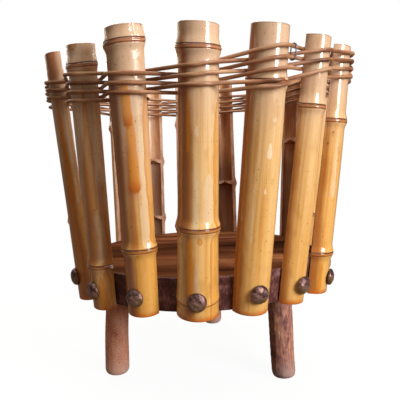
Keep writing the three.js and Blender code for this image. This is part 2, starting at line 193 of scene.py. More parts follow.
# Passes of the strand, numbered to the left from the culm where it is spliced. Even ones lie
# outside, and a tail starts with a cut end there.
Strand = namedtuple("Strand", "name first last tail")
STRANDS = [Strand("rattan_strand_lower", -15, 17, False), Strand("rattan_strand_upper", 17, 103, True)]
SPLICED_CULM = 1

# azimuth: degrees from the front. bark: how much of it is left
Leg = namedtuple("Leg", "name azimuth bark seed")
LEGS = [
    Leg("leg_front_left", -66.2, 0.1, 31),
    Leg("leg_front_right", 53.4, 1, 53),
    Leg("leg_back", 172.5, 0.0, 75),
]


# Meshes

def tint(code):
    """A colour written as RRGGBB, in the renderer's linear values."""
    parts = [int(code[i:i + 2], 16) / 255 for i in (0, 2, 4)]
    return [c / 12.92 if c <= 0.04045 else ((c + 0.055) / 1.055) ** 2.4 for c in parts] + [1.0]


def smooth_step(low_edge, high_edge, value):
    share = np.clip((value - low_edge) / (high_edge - low_edge), 0, 1)
    return share * share * (3 - 2 * share)


def hump(value, middle, width):
    """1 at its middle, and fading to 0 on both sides."""
    return np.exp(-((value - middle) / width) ** 2)


def ripple(*waves):
    """A sum of waves, each given by its height and the angle of its sine."""
    return sum(height * np.sin(angle) for height, angle in waves)


def distance_along(points):
    """Distance from the first point to each of them, from point to point."""
    return np.concatenate([[0], np.cumsum(np.linalg.norm(np.diff(points, axis=0), axis=1))])


def add_object(name, data):
    thing = bpy.data.objects.new(name, data)
    bpy.context.scene.collection.objects.link(thing)
    return thing


def grid_faces(rows, columns):
    """Faces of a grid that closes on itself across, and the row and unwrapped column of each corner."""
    i, j = (part.ravel() for part in np.mgrid[0:rows - 1, 0:columns])
    row = np.stack([i, i, i + 1, i + 1], 1)
    column = np.stack([j, j + 1, j + 1, j], 1)
    return row * columns + column % columns, row, column


def make_piece(name, points, faces, materials, uvs, sharp, looks=None, values=None):
    """A finished piece that replaces the named node. Edges of more than sharp degrees stay hard,
    and the faces after those that have a place on the surface lie at its origin."""
    mesh = bpy.data.meshes.new(name)
    mesh.from_pydata((np.asarray(points) * MM).tolist(), [], [list(map(int, f)) for f in faces])
    for material in materials:
        mesh.materials.append(material)
    if looks is not None:
        mesh.polygons.foreach_set("material_index", np.asarray(looks, np.int32))
    corners = np.zeros(2 * len(mesh.loops), np.float32)
    corners[:uvs.size] = uvs.ravel()
    mesh.uv_layers.new(name="Surface").data.foreach_set("uv", corners)
    for key, value in (values or {}).items():
        attribute = mesh.attributes.new(key, "FLOAT", "POINT")
        attribute.data.foreach_set("value", np.asarray(value, np.float32).ravel())
    mesh.polygons.foreach_set("use_smooth", np.ones(len(mesh.polygons), bool))
    mesh.set_sharp_from_angle(angle=math.radians(sharp))
    mesh.update()
    piece = add_object(name.replace("_stave", "_culm") + "_finished", mesh)
    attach(piece, "root")
    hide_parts(name)


def placed(points, matrix):
    """An array of points moved by a matrix."""
    turn = np.array(matrix.to_3x3())
    return points @ turn.T + np.array(matrix.translation)


def lathe_piece(name, profile, segments, matrix, materials, looks, dent, sharp, kind=0.0):
    """A turned piece about Z, dented by a function. Its profile runs from the axis to the axis."""
    profile = np.asarray(profile, float)
    angle = np.arange(segments) * 2 * math.pi / segments
    ring = profile[1:-1]
    radius = np.repeat(ring[:, :1], segments, 1)
    height = np.repeat(ring[:, 1:], segments, 1)
    radius, height = dent(radius, height, angle[None, :])
    grid = np.stack([radius * np.cos(angle), radius * np.sin(angle), height], -1).reshape(-1, 3)
    faces, row, column = grid_faces(len(ring), segments)
    first, last = len(grid), len(grid) + 1
    points = np.vstack([grid, [[0, 0, profile[0, 1]], [0, 0, profile[-1, 1]]]])
    top = (len(ring) - 1) * segments
    ends = [[first, (i + 1) % segments, i] for i in range(segments)]
    ends += [[last, top + i, top + (i + 1) % segments] for i in range(segments)]
    around = column * 2 * math.pi / segments * ring[:, 0].max()
    uvs = np.stack([around, distance_along(ring)[row]], -1)
    looks = np.concatenate([np.asarray(looks)[row[:, 0]], np.repeat([looks[0], looks[-1]], segments)])
    values = {"lift": points[:, 1], "height": points[:, 2], "kind": np.full(len(points), kind)}
    faces = list(faces) + ends
    make_piece(name, placed(points, matrix), faces, materials, uvs, sharp, looks, values)


# The culms

def outward(azimuth):
    """Away from the pot's axis."""
    return Vector((math.sin(math.radians(azimuth)), -math.cos(math.radians(azimuth)), 0))


def sideways(azimuth):
    """To the right along the rim, seen from outside."""
    return Vector((math.cos(math.radians(azimuth)), math.sin(math.radians(azimuth)), 0))


def lean_of(culm):
    return STAVE_LEAN + math.radians(culm.lean)


def sawn_face(culm, height):
    """Distance from the pot's axis to a culm's sawn face, whose edges clear the disc's rim."""
    lip = culm.foot - CULM_WALL
    slope = math.tan(lean_of(culm))
    top_radius = DISC_RADIUS + (DISC_TOP - DISC_UNDERSIDE) * math.tan(STAVE_LEAN)
    seats = [(DISC_RADIUS, DISC_UNDERSIDE), (top_radius, DISC_TOP)]
    seat = max(math.sqrt(r ** 2 - lip ** 2) + (height - level) * slope for r, level in seats)
    return seat + CLEARANCE / math.cos(lean_of(culm))


def hang(culm):
    """Distance from a culm's foot to the common height of the nails."""
    return (NAIL_LEVEL - DISC_UNDERSIDE + STAVE_DROP + culm.drop) / math.cos(lean_of(culm))


def nail_along(culm):
    return hang(culm) + culm.rise


def stave_frame(culm):
    """X runs to the right along the rim, Y up the culm and Z away from the pot."""
    lean = lean_of(culm)
    right = sideways(culm.azimuth)
    axis = outward(culm.azimuth) * math.sin(lean) + UP * math.cos(lean)
    face = right.cross(axis)
    turn = Matrix.Rotation(-math.radians(culm.turn), 3, face)
    right, axis = turn @ right, turn @ axis
    start = outward(culm.azimuth) * sawn_face(culm, NAIL_LEVEL) + UP * NAIL_LEVEL + AXIS
    start -= face * SAW_KERF / 2 + axis * hang(culm)
    matrix = Matrix((right, axis, face)).transposed().to_4x4()
    matrix.translation = start
    return matrix


# Joints: a node is a swelling with two fine grooves and a ridge beside each. A scar is fainter.
NODE_SWELL = 1.8
NODE_ABOVE = 9
NODE_BELOW = 7
LINE_UPPER = 1.4
LINE_LOWER = -1.4
UPPER_GROOVE = 0.4
LOWER_GROOVE = 0.25
GROOVE_WIDTH = 0.4
RIDGE_HEIGHT = 0.2
RIDGE_GAP = 0.6
RIDGE_WIDTH = 0.5
SCAR_SWELL = 0.5
SCAR_RISE = 1
SCAR_REACH = 3.5
SCAR_GROOVE = 0.15
SCAR_WIDTH = 0.5
SCAR_SAG = 2.2
SCAR_ENDS = 1.4

# Rings of points, closer together at the joints and ends
RING_STEP = 1.9
JOINT_REACH = 3.6
JOINT_STEP = 0.3
END_STEPS = (0.1, 0.3, 0.7, 1.3)
LEAST_STEP = 0.08
ARC_POINTS = 45

# Ends, sawn edges, septa, buds and varnish
END_ROUND = 0.7
BORE_ROUND_SHARE = 0.6
SKIN_EDGE = 0.45
BORE_LIP = 0.2
SLANT_REACH = 26
STAVE_BOW = 0.5
SEPTUM_HALF = 0.9
SEPTUM_FOOT = 2.6
SEPTUM_HOLE = 1.0
SEPTUM_CUP = 2.0
BUD_RADIUS = 1.3
BUD_STRETCH = 0.8
RUN_THICKNESS = 0.12
POOL_THICKNESS = 0.22
SPARE_POOL = 0.4
MOST_SWAY = 4
GRAIN_SHIFT = 500

# The longest distances that the skin's material reads, and its values where there is no skin
EDGE_REACH = 4.0
FAR_AWAY = 99.0
OFF_SKIN = {"node_gap": FAR_AWAY, "scar_gap": FAR_AWAY, "pool": 0.0, "bud": 0.0}
OFF_SKIN |= dict.fromkeys(("coat", "bare", "stain", "glaze", "chip"), -EDGE_REACH)

# Places of a culm's materials in its list
SKIN, INSIDE, CUT = 0, 1, 2


def node_profile(gap):
    """How far the skin stands out at a distance above a node."""
    span = np.where(gap > 0, NODE_ABOVE, NODE_BELOW)
    swell = NODE_SWELL * 0.5 * (1 + np.cos(math.pi * np.clip(np.abs(gap) / span, 0, 1)))
    swell = swell + RIDGE_HEIGHT * hump(gap, LINE_UPPER - RIDGE_GAP, RIDGE_WIDTH)
    swell = swell + RIDGE_HEIGHT * hump(gap, LINE_LOWER + RIDGE_GAP, RIDGE_WIDTH)
    swell = swell - UPPER_GROOVE * hump(gap, LINE_UPPER, GROOVE_WIDTH)
    return swell - LOWER_GROOVE * hump(gap, LINE_LOWER, GROOVE_WIDTH)


def scar_profile(gap):
    return SCAR_SWELL * hump(gap, SCAR_RISE, SCAR_REACH) - SCAR_GROOVE * hump(gap, 0, SCAR_WIDTH)


def culm_radius(culm, along):
    share = along / (STAVE_LENGTH + culm.extra)
    return culm.foot + (culm.head - culm.foot) * share + 4 * culm.belly * share * (1 - share)


def skin_radius(culm, along):
    return culm_radius(culm, along) + sum(node_profile(np.asarray(along - node)) for node in culm.nodes)


def ring_places(joints, length):
    """Heights of the rings."""
    places = list(np.arange(0, length, RING_STEP))
    for joint in joints:
        places = [p for p in places if abs(p - joint) > JOINT_REACH]
        places += list(joint + np.arange(-JOINT_REACH, JOINT_REACH + JOINT_STEP / 2, JOINT_STEP))
    places += list(END_STEPS) + [length - step for step in (0, *END_STEPS)]
    kept = [0.0]
    for place in sorted(places):
        if LEAST_STEP < place - kept[-1] and place <= length:
            kept.append(place)
    return np.array(kept)


def end_loss(gap):
    """How much a rounded rim has lost at a distance from its end."""
    return END_ROUND - np.sqrt(END_ROUND ** 2 - (END_ROUND - np.clip(gap, 0, END_ROUND)) ** 2)


def patch_depth(patches, angle, along, radius):
    """Millimetres inside the edge of the nearest patch: wavy, round below and pointed above."""
    depth = np.full(radius.shape, -EDGE_REACH)
    for patch in patches:
        half = patch.width / 2
        sway = min(half, MOST_SWAY)
        from_end = np.clip((along - patch.bottom) / half, 0, 1)
        share = np.clip((along - patch.bottom) / (patch.top - patch.bottom), 0, 1)
        ragged = ripple((0.1, along / 9 + patch.angle), (0.06, along / 3.1))
        width = half * np.sqrt(from_end * (2 - from_end)) * (1 - share ** patch.point)
        width = width + sway * from_end * ragged
        middle = math.radians(patch.angle) * radius + 0.15 * sway * np.sin(along / 17 + patch.bottom)
        inside = width - np.abs(angle * radius - middle)
        inside = np.minimum(inside, np.minimum(along - patch.bottom, patch.top - along))
        depth = np.maximum(depth, inside)
    return np.minimum(depth, EDGE_REACH)


def covered(depth):
    """From 0 to 1 across the edge of a patch."""
    return np.clip(depth + 0.5, 0, 1)


def pooled(patches, angle, along, radius):
    """From 0 to 1: how thick the varnish lies at the lower ends of its runs."""
    thick = np.zeros(radius.shape)
    for patch in patches:
        inside = covered(patch_depth([patch], angle, along, radius))
        thick = np.maximum(thick, patch.pool * inside * hump(along, patch.bottom, patch.width))
    return thick


def spare_patches(random, length, angles):
    """Patches of varnish or bare skin for a culm that the photo doesn't show from outside."""
    patches = []
    for angle in angles:
        top = random.uniform(0.45, 0.98) * length
        bottom = top * random.uniform(0.1, 0.6)
        turn = angle + random.uniform(-14, 14)
        patches.append(Patch(turn, random.uniform(5, 10), top, bottom, random.uniform(2, 6), SPARE_POOL))
    return patches


def culm_marks(number, random, length):
    """Patches by kind. The spare ones are drawn for every culm, so that the draws stay in step."""
    return {
        "coat": VARNISH_RUNS.get(number, spare_patches(random, length, (30,))),
        "bare": BARE_PATCHES.get(number, spare_patches(random, length, (-30, 35))),
        "stain": STAINS_AND_SHADE.get(number, spare_patches(random, length, (-60, 8))),
        "glaze": GLAZES.get(number, spare_patches(random, length, (-15, 55))),
        "chip": CHIPS.get(number, []),
    }


def skin_shape(number, culm, along, angle, phase):
    """The radius without joints, the skin's radius, and its distances above the nearest joints."""
    plain = culm_radius(culm, along) + 0 * angle
    skin = plain + ripple((0.14, 2 * angle + along / 55 + phase[2]), (0.1, along / 21 + angle + phase[3]))
    climb = ripple((0.4, angle + phase[0]), (0.2, 3 * angle + phase[1]))
    climb = climb + math.tan(math.radians(culm.tilt)) * plain * np.sin(angle)
    node_gap = np.full(skin.shape, FAR_AWAY)
    for node in culm.nodes:
        gap = along - node - climb
        skin = skin + node_profile(gap)
        node_gap = np.where(np.abs(gap) < np.abs(node_gap), gap, node_gap)
    scar_gap = np.full(skin.shape, FAR_AWAY)
    for scar in SCARS.get(number, []):
        scar_gap = along - scar + SCAR_SAG * np.cos(angle) - SCAR_ENDS
        skin = skin + scar_profile(scar_gap)
    return plain, skin, {"node_gap": node_gap, "scar_gap": scar_gap}


def bud_shape(number, angle, along, radius):
    """How dark the buds are, from 0 to 1, and how far they stand out."""
    dark = np.zeros(radius.shape)
    lumps = np.zeros_like(dark)
    for height, degrees, reach in BUDS.get(number, []):
        away = np.hypot((angle - math.radians(degrees)) * radius, (along - height) * BUD_STRETCH)
        dark = np.maximum(dark, hump(away, 0, BUD_RADIUS))
        lumps = lumps + reach * hump(away, 0, BUD_RADIUS)
    return dark, lumps


def bore_shape(culm, along, from_end):
    """Radius of the hollow, all but closed by a septum at each node, and how far each is cupped."""
    bore = culm_radius(culm, along) - CULM_WALL
    cup = np.zeros_like(along)
    for node in culm.nodes:
        shut = 1 - smooth_step(SEPTUM_HALF, SEPTUM_FOOT, np.abs(along - node))
        cup = cup + SEPTUM_CUP * shut
        bore = bore + (SEPTUM_HOLE - bore) * shut
    return bore + BORE_ROUND_SHARE * end_loss(from_end), cup


def half_rings(skin, bore, share):
    """Places across and outward round each ring: skin, sawn edge, hollow and the other edge."""
    kerf = SAW_KERF / 2
    outer_turn = share * np.arccos((kerf + SKIN_EDGE) / skin[:, -1:])
    inner_turn = share[:, ::-1] * np.arccos((kerf + BORE_LIP) / bore)
    half_skin = np.sqrt(skin[:, -1:] ** 2 - kerf ** 2) - SKIN_EDGE
    half_bore = np.sqrt(bore ** 2 - kerf ** 2) + BORE_LIP
    flat = np.full_like(half_skin, kerf)
    hollow = bore * np.sin(inner_turn)
    x = np.hstack([skin * np.sin(outer_turn), half_skin, half_bore, hollow, -half_bore, -half_skin])
    z = np.hstack([skin * np.cos(outer_turn), flat, flat, bore * np.cos(inner_turn), flat, flat])
    return x, z


def stave_faces(rings, columns):
    """All faces and their looks, and the ring and unwrapped column at corners of the long ones."""
    faces, row, column = grid_faces(rings, columns)
    at = column[:, 0]
    looks = np.where(at < ARC_POINTS - 1, SKIN, CUT)
    looks = np.where((at > ARC_POINTS + 1) & (at < 2 * ARC_POINTS + 1), INSIDE, looks)
    outer = [columns - 1, *range(ARC_POINTS + 1)]
    inner = [columns - 2, *range(2 * ARC_POINTS + 1, ARC_POINTS, -1)]
    top = (rings - 1) * columns
    caps = []
    for a, b, c, d in zip(outer, outer[1:], inner[1:], inner):
        caps.append([d, c, b, a])
        caps.append([top + a, top + b, top + c, top + d])
    return list(faces) + caps, np.concatenate([looks, np.full(len(caps), CUT)]), row, column


def stave(number, culm, materials):
    """A half culm: skin, sawn edges, hollow inside with its septa, and cut ends."""
    random = np.random.default_rng(number)
    phase = random.uniform(0, 2 * math.pi, 6)
    length = STAVE_LENGTH + culm.extra
    along = ring_places([*culm.nodes, *SCARS.get(number, [])], length)[:, None]
    from_end = np.minimum(along, length - along)
    share = np.linspace(-1, 1, ARC_POINTS)[None, :]
    angle = share * math.pi / 2

    plain, skin, values = skin_shape(number, culm, along, angle, phase)
    marks = culm_marks(number, random, length)
    for kind, patches in marks.items():
        values[kind] = patch_depth(patches, angle, along, plain)
    values["pool"] = pooled(marks["coat"], angle, along, plain)
    values["bud"], lumps = bud_shape(number, angle, along, plain)
    skin = skin + lumps + RUN_THICKNESS * covered(values["coat"]) + POOL_THICKNESS * values["pool"]
    bore, cup = bore_shape(culm, along, from_end)

    x, z = half_rings(skin - end_loss(from_end), bore, share)
    columns = x.shape[1]
    cupped = np.zeros(columns)
    cupped[ARC_POINTS + 1:-1] = 1
    y = along + cup * cupped * (1 - np.hypot(x, z) / plain[:, :1])
    x = x + random.uniform(-STAVE_BOW, STAVE_BOW) * np.sin(math.pi * along / length)
    y = y + x * math.tan(math.radians(culm.slant)) * smooth_step(length - SLANT_REACH, length, along)
    points = placed(np.stack([x, y, z], -1).reshape(-1, 3), stave_frame(culm))

    for kind, rest in OFF_SKIN.items():
        values[kind] = np.hstack([values[kind], np.full((len(along), columns - ARC_POINTS), rest)])
    values["foot_gap"] = np.repeat(along, columns, 1)
    values["head_gap"] = length - values["foot_gap"]
    values["tone"] = np.full(x.shape, TONES.get(number, 0.0))
    values["worn"] = np.full(x.shape, float(number in WORN_AND_SHEEN_HEADS))

    faces, looks, row, column = stave_faces(len(along), columns)
    perimeter = distance_along(np.stack([x[0], z[0]], 1))
    perimeter = np.append(perimeter, perimeter[-1] + CULM_WALL)
    start = random.uniform(0, GRAIN_SHIFT, 2)
    uvs = np.stack([perimeter[column] + start[0], along[row, 0] + start[1]], -1)
    name = f"bamboo_stave_{number:02d}"
    make_piece(name, points, faces, materials, uvs, 40, looks, values)


# The nails

NAIL_SEED = 500
BRIM_ROUND = 0.25
DOME_STEPS = 13
NAIL_SIDES = 36
NAIL_DENTS = 0.13


def nail(number, culm, material):
    """A dome-headed nail, a little hammered, with its shank in the rim."""
    phase = np.random.default_rng(NAIL_SEED + number).uniform(0, 2 * math.pi, 5)
    seat = float(skin_radius(culm, nail_along(culm))) + CLEARANCE
    tip = SAW_KERF / 2 - seat - NAIL_BITE
    profile = [(0, tip), (NAIL_SHANK, tip + NAIL_POINT), (NAIL_SHANK, 0), (NAIL_HEAD - NAIL_BRIM, 0)]
    profile += [(NAIL_HEAD - BRIM_ROUND, 0.15 * NAIL_BRIM), (NAIL_HEAD, 0.5 * NAIL_BRIM)]
    for step in range(1, DOME_STEPS):
        angle = step * math.pi / 2 / DOME_STEPS
        rise = (NAIL_DOME - NAIL_BRIM) * math.sin(angle)
        profile.append((NAIL_HEAD * math.cos(angle), NAIL_BRIM + rise))
    profile.append((0, NAIL_DOME))

    def dent(radius, height, angle):
        x, y = radius * np.cos(angle), radius * np.sin(angle)
        hits = np.sin(1.3 * x + phase[0]) * np.sin(1.1 * y + phase[1])
        hits = hits + np.sin(0.8 * x + 1.2 * y + phase[2])
        on_head = np.clip(height / NAIL_BRIM, 0, 1)
        uneven = ripple((0.02, angle + phase[3]), (0.012, 3 * angle + phase[4]))
        return radius * (1 + uneven * on_head), height + NAIL_DENTS * hits * on_head

    matrix = stave_frame(culm) @ Matrix.Translation((0, nail_along(culm), seat))
    looks = np.zeros(len(profile), int)
    name = f"dome_nail_{number:02d}"
    lathe_piece(name, profile, NAIL_SIDES, matrix, [material], looks, dent, 50)


# The disc and the legs

UNDERSIDE_RING = 40
TOP_RING = 60
DISC_SIDES = 240
RIM_STEPS = 9
SAW_MARKS = 0.12


def disc(top_look, rim_look):
    """The board, with broken edges and saw marks on its sloping rim."""
    slope = math.tan(STAVE_LEAN)
    thick = DISC_TOP - DISC_UNDERSIDE
    edge = DISC_EDGE
    top = DISC_RADIUS + thick * slope
    profile = [(0, 0), (UNDERSIDE_RING, 0), (DISC_RADIUS - edge, 0)]
    profile += [(DISC_RADIUS - 0.4 * edge, 0.15 * edge), (DISC_RADIUS + 0.1 * edge, 0.5 * edge)]
    for share in np.linspace(edge / thick, 1 - edge / thick, RIM_STEPS):
        profile.append((DISC_RADIUS + share * thick * slope, share * thick))
    profile += [(top - 0.15 * edge, thick - 0.5 * edge), (top - 0.5 * edge, thick - 0.15 * edge)]
    profile += [(top - edge, thick), (TOP_RING, thick), (0, thick)]
    ring = profile[1:-1]
    looks = [0 if a[1] == b[1] else 1 for a, b in zip(ring, ring[1:])] + [0]
    matrix = Matrix.Translation(AXIS + UP * DISC_UNDERSIDE)
    materials = [top_look, rim_look]

    def saw_marks(radius, height, angle):
        on_rim = (radius > DISC_RADIUS - 2 * edge) * 1.0
        return radius - SAW_MARKS * on_rim * (1 + np.sin(97 * angle) * np.sin(31 * angle + 1)), height

    lathe_piece("base_disc", profile, DISC_SIDES, matrix, materials, looks, saw_marks, 28)


LEG_SIDES = 48
LEG_RINGS = 46
FOOT_WEAR = 3.2
FOOT_ROUND = 5.5
FOOT_TURNS = (8, 25, 42, 60, 75, 90)
FOOT_LIFT = 0.8
HEAD_EDGE = 0.6
SOCKET_MARGIN = 4
LUMP_FADE = 12
FOOT_FADE = 3
BARK_INSET = 0.25


def leg(stick, material):
    """A peeled stick, uneven all over, its foot worn round."""
    phase = np.random.default_rng(stick.seed).uniform(0, 2 * math.pi, 6)
    length = (DISC_TOP - SOCKET_ROOF) / math.cos(LEG_SPLAY) - CLEARANCE
    profile = [(0, 0.0)]
    for turn in map(math.radians, FOOT_TURNS):
        profile.append((LEG_RADIUS - FOOT_WEAR * (1 - math.sin(turn)), FOOT_ROUND * (1 - math.cos(turn))))
    profile += [(LEG_RADIUS, height) for height in np.linspace(FOOT_ROUND + 2, length - 0.5, LEG_RINGS)]
    profile += [(LEG_RADIUS - HEAD_EDGE, length), (0, length)]

    def bark(radius, height, angle):
        free = np.clip((DISC_UNDERSIDE - SOCKET_MARGIN - height) / LUMP_FADE, 0, 1)
        foot = np.clip(height / FOOT_FADE, 0, 1)
        lumps = ripple((0.35, 2 * angle + height / 31 + phase[0]), (0.3, height / 13 + angle + phase[1]))
        drift = 0.8 * np.sin(height / 17 + phase[2])
        ridges = ripple((0.14, 11 * angle + drift + phase[3]), (0.1, 17 * angle + height / 9 + phase[4]))
        fine = 0.1 * np.sin(height * 0.9 + 5 * np.sin(3 * angle + phase[5]))
        rough = (0.3 + 0.7 * stick.bark) * (ridges + fine)
        return radius + free * foot * (lumps + rough - BARK_INSET), height

    away = outward(stick.azimuth)
    right = sideways(stick.azimuth)
    axis = away * -math.sin(LEG_SPLAY) + UP * math.cos(LEG_SPLAY)
    matrix = Matrix((right, axis.cross(right), axis)).transposed().to_4x4()
    matrix.translation = away * (LEG_CIRCLE + DISC_UNDERSIDE * math.tan(LEG_SPLAY)) + AXIS
    matrix.translation += UP * LEG_RADIUS * math.sin(LEG_SPLAY) * FOOT_LIFT
    looks = np.zeros(len(profile), int)
    lathe_piece(stick.name, profile, LEG_SIDES, matrix, [material], looks, bark, 60, stick.bark)


# The woven strand and its tie

def culm_at(place):
    return CULMS[place % len(CULMS)]


def strand_height(place, number):
    """Height of the strand at a place counted in culms, after so many passes."""
    before = math.floor(place)
    share = place - before
    here, there = culm_at(before), culm_at(before + 1)
    lift = here.lift * (1 - share) + there.lift * share
    fan = here.fan * (1 - share) + there.fan * share
    sag = here.sag * (1 - share) + there.sag * share
    rounds = number / len(CULMS)
    return BAND_LEVEL + lift + (STRAND_PITCH + fan) * rounds - sag * min(1, max(0, 2 - rounds))


def pass_point(number, across, off):
    """A point of the strand beside a culm: to its right, and off its sawn face."""
    place = SPLICED_CULM - number
    culm = culm_at(place)
    neighbour = culm_at(place + (1 if across >= 0 else -1))
    spacing = outward(culm.azimuth).angle(outward(neighbour.azimuth))
    share = across / (spacing * sawn_face(culm, BAND_LEVEL))
    height = strand_height(place + share, number - share)
    shift = (height - NAIL_LEVEL) * math.tan(math.radians(culm.turn))
    point = outward(culm.azimuth) * (sawn_face(culm, height) + off)
    return point + sideways(culm.azimuth) * (across + shift) + UP * height + AXIS


def outer_pass(number, shares):
    """Points round the outside of a culm, at shares of the wrap."""
    culm = culm_at(SPLICED_CULM - number)
    rise = (pass_point(number, 0, 0).z - NAIL_LEVEL) / math.cos(lean_of(culm))
    steps = [share * STRAND_RADIUS for share in (-4, -2, 0, 2, 4)]
    skin = max(float(skin_radius(culm, hang(culm) + rise + step)) for step in steps)
    radius = skin + STRAND_RADIUS + STRAND_CLEARANCE
    turns = [share * WRAP for share in shares]
    return [pass_point(number, radius * math.sin(t), radius * math.cos(t) - SAW_KERF / 2) for t in turns]


def inner_pass(number):
    half = culm_at(SPLICED_CULM - number).head
    return [pass_point(number, across, -STRAND_RADIUS - STRAND_CLEARANCE) for across in (half, 0, -half)]


def pass_points(number):
    return outer_pass(number, (1, 0.5, 0, -0.5, -1)) if number % 2 == 0 else inner_pass(number)


EVEN_STEP = 6
STRAND_SEED = 900
STRAND_SIDES = 12
STRAND_STEPS = 5
END_TAPER = 0.45
TAPER_LENGTH = 3


def strand_points(strand):
    """Points of a whole strand, at nearly even steps, so that its curve has no kinks."""
    points = outer_pass(strand.first, (0.5, 0, -0.5, -1)) if strand.tail else pass_points(strand.first)
    for number in range(strand.first + 1, strand.last + 1):
        points += pass_points(number)
    even = [points[0]]
    for start, end in zip(points, points[1:]):
        parts = max(1, round((end - start).length / EVEN_STEP))
        even += [start.lerp(end, part / parts) for part in range(1, parts + 1)]
    return np.array(even)


def smooth_route(points, steps):
    """Points on a smooth curve through the given ones."""
    padded = np.vstack([2 * points[0] - points[1], points, 2 * points[-1] - points[-2]])
    a, b, c, d = padded[:-3], padded[1:-2], padded[2:-1], padded[3:]
    t = (np.arange(steps) / steps)[:, None, None]
    square = 2 * a - 5 * b + 4 * c - d
    cube = 3 * b - a - 3 * c + d
    curve = 0.5 * (2 * b + (c - a) * t + square * t ** 2 + cube * t ** 3)
    return np.vstack([curve.transpose(1, 0, 2).reshape(-1, 3), points[-1:]])


def tube_piece(name, route, radius, sides, across, material):
    """A closed tube along a route, with a radius at each of its points."""
    run = np.gradient(route, axis=0)
    run /= np.linalg.norm(run, axis=1)[:, None]
    side = np.cross(run, np.array(across))
    side /= np.linalg.norm(side, axis=1)[:, None]
    rise = np.cross(side, run)
    angle = np.arange(sides) * 2 * math.pi / sides
    ring = side[:, None] * np.cos(angle)[None, :, None] + rise[:, None] * np.sin(angle)[None, :, None]
    points = (route[:, None] + ring * radius[:, None, None]).reshape(-1, 3)
    faces, row, column = grid_faces(len(route), sides)
    last = (len(route) - 1) * sides
    caps = [list(range(sides)), [last + i for i in range(sides)][::-1]]
    around = column * 2 * math.pi / sides * radius.mean()
    uvs = np.stack([around, distance_along(route)[row]], -1)[:, ::-1]
    make_piece(name, points, list(faces[:, ::-1]) + caps, [material], uvs, 50)


def strand_piece(index, strand, material):
    """A length of strand, uneven along its run and thinner at its ends."""
    phase = np.random.default_rng(STRAND_SEED + index).uniform(0, 2 * math.pi, 2)
    route = smooth_route(strand_points(strand), STRAND_STEPS)
    along = distance_along(route)
    uneven = ripple((0.03, along / 19 + phase[0]), (0.02, along / 7 + phase[1]))
    radius = STRAND_RADIUS * (1 + uneven)
    ends = np.minimum(along, along[-1] - along)
    radius *= 1 - END_TAPER * (1 - smooth_step(0, TAPER_LENGTH, ends))
    tube_piece(strand.name, route, radius, STRAND_SIDES, UP, material)


WIRE_SIDES = 10
WIRE_POINTS = 24
WIRE_STEPS = 3


def wire_piece(material):
    """A loop of wire round two upper rounds of the strand."""
    def tied_at(number):
        return pass_points(number)[-1].lerp(pass_points(number + 1)[0], TIE_SHARE)

    high_point = tied_at(TIE_PASS)
    low_point = tied_at(TIE_PASS - 2 * len(CULMS))
    run = pass_points(TIE_PASS + 1)[0] - high_point
    run.z = 0
    run.normalize()
    side = run.cross(UP)
    bend = STRAND_RADIUS + WIRE_GAP + WIRE_RADIUS
    points = []
    for i in range(int(WIRE_POINTS * WIRE_TURNS) + 1):
        turns = i / WIRE_POINTS
        angle = 2 * math.pi * (turns - WIRE_START)
        middle = high_point if math.sin(angle) > 0 else low_point
        drift = WIRE_DRIFT * (turns - WIRE_TURNS / 2)
        points.append(middle + side * bend * math.cos(angle) + UP * bend * math.sin(angle) + run * drift)
    route = smooth_route(np.array(points), WIRE_STEPS)
    radius = np.full(len(route), WIRE_RADIUS)
    tube_piece("tie_wire", route, radius, WIRE_SIDES, run, material)


# Materials


